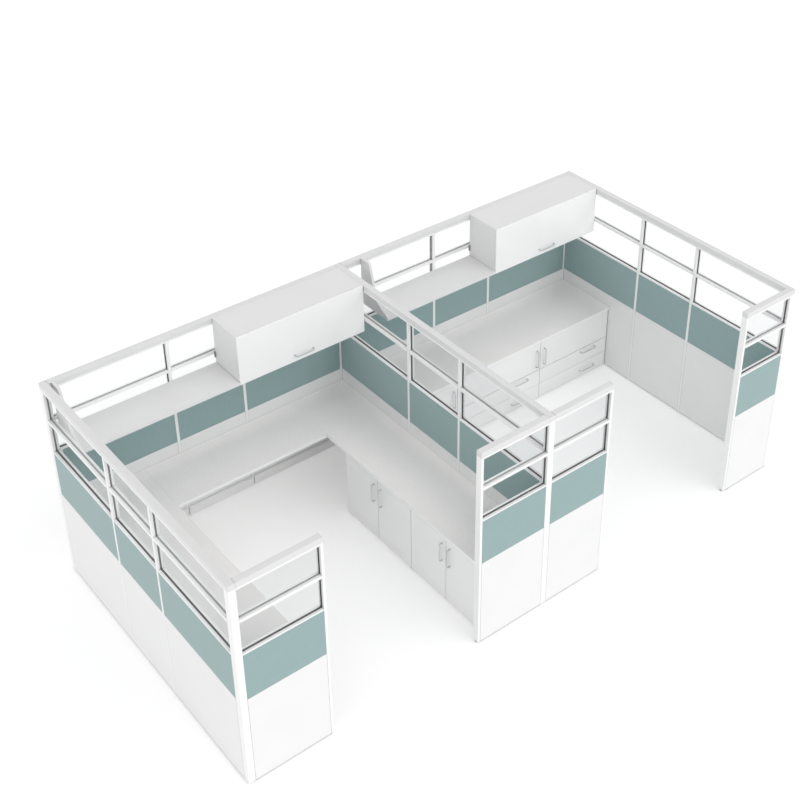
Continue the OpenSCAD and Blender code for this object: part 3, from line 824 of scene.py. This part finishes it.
def ease_edges(node: str, width_mm: float, segments: int = 2) -> None:
    """Rounds a CAD node's sharp edges a little, as a router or a wrapped cover leaves them.

    Args:
        node: The node's name.
        width_mm: Width of the rounding.
        segments: Steps across it.
    """
    thing = bpy.data.objects[node]
    weld = thing.modifiers.new("weld", "WELD")
    weld.merge_threshold = CAD_WELD_MM * MM
    bevel = thing.modifiers.new("eased_edges", "BEVEL")
    bevel.width = width_mm * MM
    bevel.segments = segments
    bevel.limit_method = "ANGLE"
    bevel.angle_limit = math.radians(SHARP_EDGE)
    bevel.use_clamp_overlap = True


@dataclass(frozen=True)
class Bay:
    """The opening between two posts.

    Attributes:
        axis: 0 for a bay that runs along X, 1 for one along Y.
        line: Middle of the wall, on the other axis.
        span: Where the posts' faces stand, along the bay.
        starts_run: Whether the bay stands at the start of its run of wall.
    """

    axis: int
    line: float
    span: Span
    starts_run: bool = True

    def point(self, along: float, out: float, height: float) -> np.ndarray:
        """Places a point.

        Args:
            along: Place along the bay.
            out: Distance from the middle of the wall, to either side.
            height: Height over the floor.

        Returns:
            The point in the frame's coordinates.
        """
        flat = (along, self.line + out) if self.axis == 0 else (self.line + out, along)
        return np.array([*flat, height])


@dataclass(frozen=True)
class Plan:
    """Where the walls, posts and returns stand."""

    length: float = 5.84
    depth: float = 2.9
    wall: float = 0.06
    post_pitch: float = 0.7
    return_ends: tuple[float, ...] = (-2.155, -0.72, 0.67, 2.28)
    stile: float = 0.025
    post: float = 0.028
    sill: float = 1.326
    split: Span = (1.62448, 1.65048)
    head: float = 1.932
    tile_foot: float = 0.012
    laminate_top: float = 0.873
    foot_radius: float = 0.02

    @property
    def wall_lines(self) -> tuple[float, ...]:
        """Middle of the left, middle and right wall, along X."""
        side = (self.length - self.wall) / 2
        return (-side, 0.0, side)

    @property
    def back_line(self) -> float:
        """Middle of the back wall, along Y."""
        return (self.depth - self.wall) / 2

    @property
    def back_posts(self) -> list[float]:
        """Places of the back wall's narrow posts.

        Returns:
            Their X.
        """
        middle = self.wall_lines[2] / 2
        half = self.post_pitch / 2
        return [c + s for c in (-middle, middle) for s in (-half, half)]

    @property
    def side_posts(self) -> tuple[float, float]:
        """Places of a side wall's narrow posts, along Y."""
        return (-self.post_pitch / 2, self.post_pitch / 2)

    @property
    def bays(self) -> list[Bay]:
        """Every glazed bay: three in each run of wall, one in each return.

        Returns:
            The back wall's bays, those of the walls along Y, and the returns'.
        """
        inner = self.wall_lines[2] - self.wall / 2
        half = self.wall / 2
        back, front = self.back_line, -self.back_line
        runs = [(0, back, -inner, -half), (0, back, half, inner)]
        runs += [(1, line, front + half, back - half) for line in self.wall_lines]
        bays = []
        for axis, line, start, end in runs:
            middle = (start + end) / 2
            near = (self.post_pitch - self.post) / 2
            far = (self.post_pitch + self.post) / 2
            bays.append(Bay(axis, line, (start, middle - far)))
            bays.append(Bay(axis, line, (middle - near, middle + near), False))
            bays.append(Bay(axis, line, (middle + far, end), False))
        for number, end in enumerate(self.return_ends):
            wall = self.wall_lines[(number + 1) // 2]
            way = 1 if end > wall else -1
            spans = sorted((wall + way * half, end - way * self.stile))
            bays.append(Bay(0, front, (spans[0], spans[1])))
        return bays

    @property
    def feet(self) -> np.ndarray:
        """The middle of every levelling foot, on the floor.

        Returns:
            Rows of X and Y.
        """
        ends = (-self.back_line, self.back_line)
        corners = [(x, y) for x in self.wall_lines for y in ends]
        back = [(x, self.back_line) for x in self.back_posts]
        sides = [(x, y) for x in self.wall_lines for y in self.side_posts]
        inward = (-1, 1, -1, 1)
        returns = [
            (x + s * self.foot_radius, -self.back_line) for x, s in zip(self.return_ends, inward)
        ]
        return np.array(corners + back + sides + returns)


PLAN = Plan()


@dataclass
class WallFrames:
    """Posts, rails, caps and feet of all the walls."""

    plan: Plan = PLAN
    cap_edge_mm: float = 1.2
    raceway_edge_mm: float = 1.5
    foot_height: float = 0.012
    rim: float = 0.002
    rim_points: int = 7
    collar: tuple[Span, ...] = (
        (0.0155, 0.0046), (0.0125, 0.0055), (0.0125, 0.0068), (0.0105, 0.0075)
    )
    stem_radius: float = 0.008
    stem_start: float = 0.0078

    def build(self) -> None:
        """Dresses the frames and turns the feet."""
        for node in ("corner_posts", "back_wall_frame", "left_wall_frame", "middle_wall_frame",
                     "right_wall_frame", "return_frames"):
            dress_node(node, POWDER_COAT)
        dress_node("wall_caps", CAP_SHADED_COAT)
        ease_edges("wall_caps", self.cap_edge_mm)
        dress_node("raceway_covers", RACEWAY)
        ease_edges("raceway_covers", self.raceway_edge_mm)
        self.feet()

    def feet(self) -> None:
        """Turns every foot: a glide with a rounded rim, a ribbed collar and a stem."""
        turn = np.linspace(-np.pi / 2, np.pi / 2, self.rim_points)
        side = self.rim * np.stack([np.cos(turn) - 1, np.sin(turn) + 1], 1)
        side[:, 0] += self.plan.foot_radius
        stem = [(self.stem_radius, self.stem_start), (self.stem_radius, self.foot_height)]
        top = [*self.collar, *stem, (0.0, self.foot_height)]
        profile = np.concatenate([[(0.0, 0.0)], side, top])
        feet = [turned(profile, (x, y, 0.0), (0, 0, 1)) for x, y in self.plan.feet]
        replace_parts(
            piece("levelling_feet_turned", feet, NYLON, ROOT), "levelling_feet"
        )


@dataclass
class Glazing:
    """Panes and the round beads of rubber that hold them on both faces."""

    plan: Plan = PLAN
    glass: float = 0.006
    bead: float = 0.0022
    fine_bead: float = 0.0014
    clip: float = 0.0035
    clip_reach: float = 0.014
    clip_sides: int = 16
    clip_places: tuple[float, ...] = (-0.499, -0.207)

    def build(self) -> None:
        """Dresses the panes, and lays a bead along each side of each pane."""
        for node in ("back_glass", "side_glass"):
            dress_node(node, GLASS)
        dark, pale = [], []
        for bay in self.plan.bays:
            self.ring(bay, (self.plan.sill, self.plan.split[0]), dark, pale, at_top=True)
            self.ring(bay, (self.plan.split[1], self.plan.head), dark, pale, at_top=False)
        beads = piece("glazing_beads_black", dark, GASKET, ROOT)
        piece("glazing_beads_pale", pale, PALE_GASKET, ROOT)
        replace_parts(beads, "glazing_gaskets")
        self.clips()

    def clips(self) -> None:
        """Sets two white clips over the sill beads of the middle wall's left return."""
        line, height = -self.plan.back_line, self.plan.sill + self.clip
        clips = []
        for x in self.clip_places:
            for way in (-1, 1):
                near = line + way * self.glass / 2
                ends = np.array([(x, near + way * out, height) for out in (0.0, self.clip_reach)])
                clips.append(bead(*ends, self.clip, self.clip_sides))
        piece("glazing_clips", clips, EDGE_BAND, ROOT)

    def ring(
        self, bay: Bay, heights: Span, dark: list[Surface], pale: list[Surface], at_top: bool
    ) -> None:
        """Lays the eight beads of one pane, pale beside the rail between the panes.

        The left wall's upright beads are finer than the others.

        Args:
            bay: The pane's bay.
            heights: Its opening's lower and upper edge.
            dark: Takes the black beads.
            pale: Takes the pale beads.
            at_top: True if the rail between the panes is on top of this pane.
        """
        inset = self.bead
        upright = self.fine_bead if bay.line == self.plan.wall_lines[0] else self.bead
        left, right = bay.span[0] + inset, bay.span[1] - inset
        low, high = heights[0] + inset, heights[1] - inset
        for out in (-1, 1):
            out *= self.glass / 2 + self.bead
            for side in (left, right):
                ends = bay.point(side, out, low), bay.point(side, out, high)
                dark.append(bead(*ends, upright))
            for height, by_rail in ((low, not at_top), (high, at_top)):
                ends = bay.point(left, out, height), bay.point(right, out, height)
                (pale if by_rail else dark).append(bead(*ends, self.bead))


@dataclass
class PanelTiles:
    """Fabric over laminate tiles on both faces of each wall, and painted shadow lines in their seams.
    """

    plan: Plan = PLAN
    fabric_edge_mm: float = 2.5
    fabric_edge_steps: int = 3
    board_edge_mm: float = 0.8
    shadow_bead: float = 0.0014
    shadow_bead_inset: float = 0.0001

    def build(self) -> None:
        """Dresses the tiles, and rounds the fabric's wrapped edges."""
        for side in ("back", "side"):
            dress_node(f"fabric_tiles_{side}", FABRIC)
            ease_edges(f"fabric_tiles_{side}", self.fabric_edge_mm, self.fabric_edge_steps)
            dress_node(f"laminate_tiles_{side}", TILE_BOARD)
            ease_edges(f"laminate_tiles_{side}", self.board_edge_mm)
        self.shadow_beads()

    def shadow_beads(self) -> None:
        """Lays a grey bead under each laminate tile and in the seams beside it, as painted shadow
        lines.

        A narrow post has its seam on one side only, and the tile beyond it hides its other edge.
        """
        beads = []
        out = self.plan.wall / 2 - self.shadow_bead - self.shadow_bead_inset
        low, high = self.plan.tile_foot, self.plan.laminate_top
        for bay in self.plan.bays:
            sides = bay.span if bay.starts_run else bay.span[1:]
            for way in (-1, 1):
                for side in sides:
                    ends = bay.point(side, way * out, low), bay.point(side, way * out, high)
                    beads.append(bead(*ends, self.shadow_bead))
                foot = low - self.shadow_bead
                ends = bay.point(bay.span[0], way * out, foot), bay.point(bay.span[1], way * out, foot)
                beads.append(bead(*ends, self.shadow_bead))
        piece("tile_shadow_beads", beads, SHADOW_BEAD_RUBBER, ROOT)


@dataclass
class Worktops:
    """Worktops with their edge bands, brackets and support panel."""

    edge_mm: float = 1.0
    bracket_edge_mm: float = 0.8

    def build(self) -> None:
        """Dresses the boards and what carries them."""
        for node in ("left_worktop", "right_worktop"):
            dress_node(node, WORKTOP)
        dress_node("worktop_edge_bands", EDGE_BAND)
        dress_node("worktop_brackets", BRACKET_COAT)
        ease_edges("worktop_brackets", self.bracket_edge_mm)
        dress_node("support_panel", CASE_BOARD)
        ease_edges("support_panel", self.edge_mm)


class BarAxis(Enum):
    """The axis that a handle's bar runs along."""

    LEVEL = 0
    UPRIGHT = 2


@dataclass
class Handle:
    """A bent bar handle: two legs, two round corners and the flat bar, on two rosettes.

    The bar's section is an ellipse, radius deep and width times as wide. leg_places are points up a
    leg. The first closes the tube, and end_lift keeps it apart from the second.
    """

    node: str
    body: str
    outward: Vector
    bar: BarAxis
    radius: float = 0.004
    width: float = 1.8
    bend: float = 0.014
    bend_points: int = 11
    bar_points: int = 12
    leg_places: tuple[float, ...] = (0.0, 0.0, 0.004, 0.012)
    end_lift: float = 1e-5
    rosette_radius: float = 0.008
    rosette: float = 0.002
    rosette_rim: float = 0.0008
    rim_points: int = 5

    def corners(self) -> tuple[np.ndarray, np.ndarray, np.ndarray, float]:
        """Reads the handle's place from its CAD box.

        Returns:
            The middle of its foot on the front, the way out, the way along, and half the distance
            between its legs.
        """
        low, high = (np.array(corner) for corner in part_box(self.node))
        out = np.array(self.outward)
        size = high - low
        along = np.zeros(3)
        along[self.bar.value] = 1.0
        middle = (low + high) / 2
        depth_axis = int(np.argmax(np.abs(out)))
        middle[depth_axis] = high[depth_axis] if out[depth_axis] < 0 else low[depth_axis]
        return middle, out, along, float(size[self.bar.value] / 2 - self.rosette_radius)

    def build(self) -> None:
        """Sweeps the bar and turns the rosettes."""
        foot, out, along, half = self.corners()
        low, high = (np.array(corner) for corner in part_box(self.node))
        reach = float((high - low) @ np.abs(out)) - self.radius
        turn = np.linspace(0, np.pi / 2, self.bend_points)
        # In the handle's plane, as distance along the bar and distance from the front.
        corner = self.bend * np.stack([np.cos(turn), np.sin(turn)], 1)
        corner += (half - self.bend, reach - self.bend)
        leg = np.array([(half, place) for place in self.leg_places])
        upper = np.concatenate([leg, corner])
        bar = np.linspace(half - self.bend, self.bend - half, self.bar_points)[1:-1]
        middle = np.stack([bar, np.full(len(bar), reach)], 1)
        lower = upper[::-1] * (-1, 1)
        plane = np.concatenate([upper, middle, lower])
        path = foot + plane[:, :1] * along + plane[:, 1:] * out
        radius = np.full(len(path), self.radius)
        radius[0] = radius[-1] = 0.0
        path[[0, -1]] += out * self.end_lift
        side = np.cross(along, out)
        tube = swept(path, side, radius, width=self.width)
        edge = np.linspace(0, np.pi / 2, self.rim_points)
        rounded = self.rosette_rim * np.stack([np.cos(edge) - 1, np.sin(edge) - 1], 1)
        rounded += (self.rosette_radius, self.rosette)
        base = [(0.0, 0.0), (self.rosette_radius, 0.0)]
        profile = np.concatenate([base, rounded, [(0.0, self.rosette)]])
        rosettes = [turned(profile, foot + s * half * along, tuple(out)) for s in (-1, 1)]
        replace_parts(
            piece(f"{self.node}_bar", [tube, *rosettes], NICKEL, self.body), self.node
        )


LEFTWARD = (-1.0, 0.0, 0.0)
FORWARD = (0.0, -1.0, 0.0)


@dataclass
class UnderStorage:
    """Cupboards and storage units under the worktops."""

    front_edge_mm: float = 1.2
    case_edge_mm: float = 0.6

    def build(self) -> None:
        """Dresses cases, fronts and fittings, and makes the handles."""
        for node in ("cupboard_cases", "unit_cases"):
            dress_node(node, CASE_BOARD)
            ease_edges(node, self.case_edge_mm)
        for node in ("pivot_plates", "drawer_runners"):
            dress_node(node, ZINC)
        for number in (1, 2, 3, 4):
            handle = f"cupboard_handle_{number}"
            self.front(f"cupboard_door_{number}", handle, LEFTWARD, BarAxis.UPRIGHT)
        for number in (1, 2, 3):
            self.front(f"unit_door_{number}", f"unit_handle_{number}", FORWARD, BarAxis.UPRIGHT)
            for level in ("upper", "lower"):
                handle = f"drawer_handle_{number}_{level}"
                self.front(f"drawer_{number}_{level}", handle, FORWARD, BarAxis.LEVEL)

    def front(self, node: str, handle: str, outward: Vector, bar: BarAxis) -> None:
        """Dresses one door or drawer, eases its edges and makes its handle.

        Args:
            node: The front's node.
            handle: Its handle's node.
            outward: Where the front faces.
            bar: How the handle's bar runs.
        """
        dress_node(node, FRONT_BOARD)
        ease_edges(node, self.front_edge_mm)
        Handle(handle, f"{node}_body", outward, bar).build()


@dataclass
class Overheads:
    """Overhead cabinets with lift-up fronts, and the open shelves beside them."""

    edge_mm: float = 1.0

    def build(self) -> None:
        """Dresses cabinets, fronts and shelves, and makes the handles."""
        dress_node("overhead_cases", OVERHEAD_SHADED_BOARD)
        dress_node("hanging_brackets", HANGER_COAT)
        for node in ("open_shelves", "shelf_end_panels"):
            dress_node(node, OVERHEAD_SHADED_BOARD)
            ease_edges(node, self.edge_mm)
        for side in ("left", "right"):
            dress_node(f"overhead_front_{side}", FRONT_BOARD)
            Handle(f"overhead_handle_{side}", f"overhead_front_{side}_body", FORWARD,
                   BarAxis.LEVEL).build()


@dataclass
class Studio:
    """White floor, soft dome, one soft lamp and the camera. Angles are in degrees."""

    floor_size: float = 90.0
    floor_lines: int = 13
    floor_tone: str = "#F3F3F3"
    floor_lift: float = 0.1
    floor_glow: float = 0.15
    horizon: float = 1.22
    zenith: float = 0.66
    lamp: float = 0.56
    lamp_angle: float = 50.0
    lamp_rise: float = 40.0
    lamp_turn: float = 25.0
    eye: Vector = (-5.9448, -7.4370, 8.5164)
    turn: Vector = (58.325, 0.248, -38.372)
    lens_mm: float = 61.54
    shift: Span = (-0.0337, -0.1641)
    sensor_mm: float = 36.0
    clip_end: float = 200.0

    def build(self) -> None:
        """Sets up floor, light, camera and view."""
        self.floor()
        self.sky()
        self.key_lamp()
        self.camera()
        bpy.context.scene.view_settings.view_transform = "Standard"

    def seen(self, tree: Tree) -> Socket:
        """Marks the rays that show the background: straight, in a mirror or through glass.

        Args:
            tree: The node tree.

        Returns:
            1 for such a ray, and otherwise 0.
        """
        path = add_node(tree, "ShaderNodeLightPath").outputs
        first = maths(tree, "MAXIMUM", path["Is Camera Ray"], path["Is Glossy Ray"])
        return maths(tree, "MAXIMUM", first, path["Is Transmission Ray"])

    def floor(self) -> None:
        """Lays the floor, a lit white table that keeps the shadows and is lifted where it is seen."""
        half = self.floor_size / 2
        count = self.floor_lines
        lines = np.linspace(-half, half, count)
        x, y = np.meshgrid(lines, lines, indexing="ij")
        points = np.stack([x, y, np.zeros_like(x)], 2).reshape(-1, 3)
        steps = np.arange(count - 1)
        first = (steps[:, None] * count + steps).ravel()
        quads = np.stack([first, first + count, first + count + 1, first + 1], 1)
        mesh = bpy.data.meshes.new("studio_floor")
        mesh.from_pydata(points.tolist(), [], quads.tolist())
        thing = bpy.data.objects.new("studio_floor", mesh)
        bpy.context.scene.collection.objects.link(thing)
        material = bpy.data.materials.new("studio_floor_white")
        material.use_nodes = True
        tree = material.node_tree
        tree.nodes.clear()
        matt = add_node(tree, "ShaderNodeBsdfDiffuse", inputs={"Color": linear(self.floor_tone)})
        lift = maths(tree, "MULTIPLY_ADD", self.seen(tree), self.floor_lift, self.floor_glow)
        glow = add_node(tree, "ShaderNodeEmission", inputs={"Strength": lift})
        both = add_node(
            tree, "ShaderNodeAddShader", inputs={0: matt.outputs["BSDF"], 1: glow.outputs["Emission"]}
        )
        add_node(tree, "ShaderNodeOutputMaterial", inputs={"Surface": both.outputs["Shader"]})
        mesh.materials.append(material)

    def sky(self) -> None:
        """Makes a white dome, brighter at the horizon, and plain white where it is seen."""
        world = bpy.data.worlds.new("studio_dome")
        bpy.context.scene.world = world
        world.use_nodes = True
        tree = world.node_tree
        tree.nodes.clear()
        way = add_node(tree, "ShaderNodeTexCoord").outputs["Generated"]
        height = add_node(tree, "ShaderNodeSeparateXYZ", inputs={"Vector": way}).outputs["Z"]
        level = ranged(tree, height, (0.0, 1.0), (self.horizon, self.zenith))
        light = add_node(tree, "ShaderNodeBackground", inputs={"Color": WHITE, "Strength": level})
        plain = add_node(tree, "ShaderNodeBackground", inputs={"Color": WHITE, "Strength": 1.0})
        both = add_node(
            tree,
            "ShaderNodeMixShader",
            inputs={0: self.seen(tree), 1: light.outputs["Background"],
                    2: plain.outputs["Background"]},
        )
        add_node(tree, "ShaderNodeOutputWorld", inputs={"Surface": both.outputs["Shader"]})

    def key_lamp(self) -> None:
        """Hangs one broad lamp in front, which makes the fronts the brightest faces."""
        lamp = bpy.data.lights.new("front_softbox", "SUN")
        lamp.energy = self.lamp
        lamp.angle = math.radians(self.lamp_angle)
        thing = bpy.data.objects.new("front_softbox", lamp)
        thing.rotation_euler = (
            math.radians(90 - self.lamp_rise), 0.0, math.radians(self.lamp_turn)
        )
        bpy.context.scene.collection.objects.link(thing)

    def camera(self) -> None:
        """Sets the camera up at the photograph's viewing angle."""
        lens = bpy.data.cameras.new("main_camera")
        lens.sensor_width = self.sensor_mm
        lens.lens = self.lens_mm
        lens.shift_x, lens.shift_y = self.shift
        lens.clip_end = self.clip_end
        thing = bpy.data.objects.new("main_camera", lens)
        thing.location = self.eye
        thing.rotation_euler = tuple(math.radians(angle) for angle in self.turn)
        bpy.context.scene.collection.objects.link(thing)
        bpy.context.scene.camera = thing


def main() -> None:
    """Builds the studio and the workstation's sub-assemblies in order."""
    logging.basicConfig(level=logging.INFO, format="%(message)s")
    for part in (Studio, WallFrames, Glazing, PanelTiles, Worktops, UnderStorage, Overheads):
        LOG.info("building %s", part.__name__)
        part().build()


if __name__ == "__main__":
    main()
